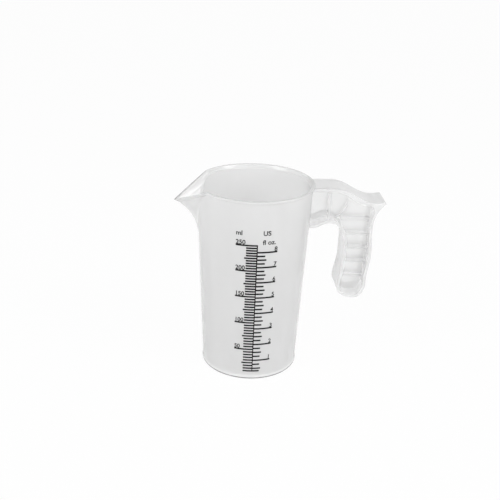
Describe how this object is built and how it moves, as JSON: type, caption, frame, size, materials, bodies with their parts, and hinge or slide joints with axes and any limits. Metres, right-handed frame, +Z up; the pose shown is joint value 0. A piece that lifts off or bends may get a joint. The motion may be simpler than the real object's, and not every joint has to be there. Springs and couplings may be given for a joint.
{
  "type": "measuring jug",
  "caption": "Tapered translucent measuring jug with a V-shaped pouring spout, an I-section pistol-grip handle and a black printed volume scale on its front.",
  "frame": {"origin": "centre of the flat underside of the base, on the cup's axis", "axes": "+Z up along the cup's axis, +X towards the handle, -X towards the spout, -Y out of the printed scale"},
  "size_m": [0.1252, 0.0706, 0.118],
  "materials": {
    "natural_polypropylene": "translucent satin",
    "black_ink": "screen-printed matt"
  },
  "bodies": {
    "root": {"cup_base": "natural_polypropylene", "cup_wall": "natural_polypropylene", "rim_bead": "natural_polypropylene", "pouring_spout": "natural_polypropylene", "handle_arm": "natural_polypropylene", "thumb_rest": "natural_polypropylene", "handle_grip": "natural_polypropylene", "printed_scale": "black_ink"}
  },
  "joints": []
}
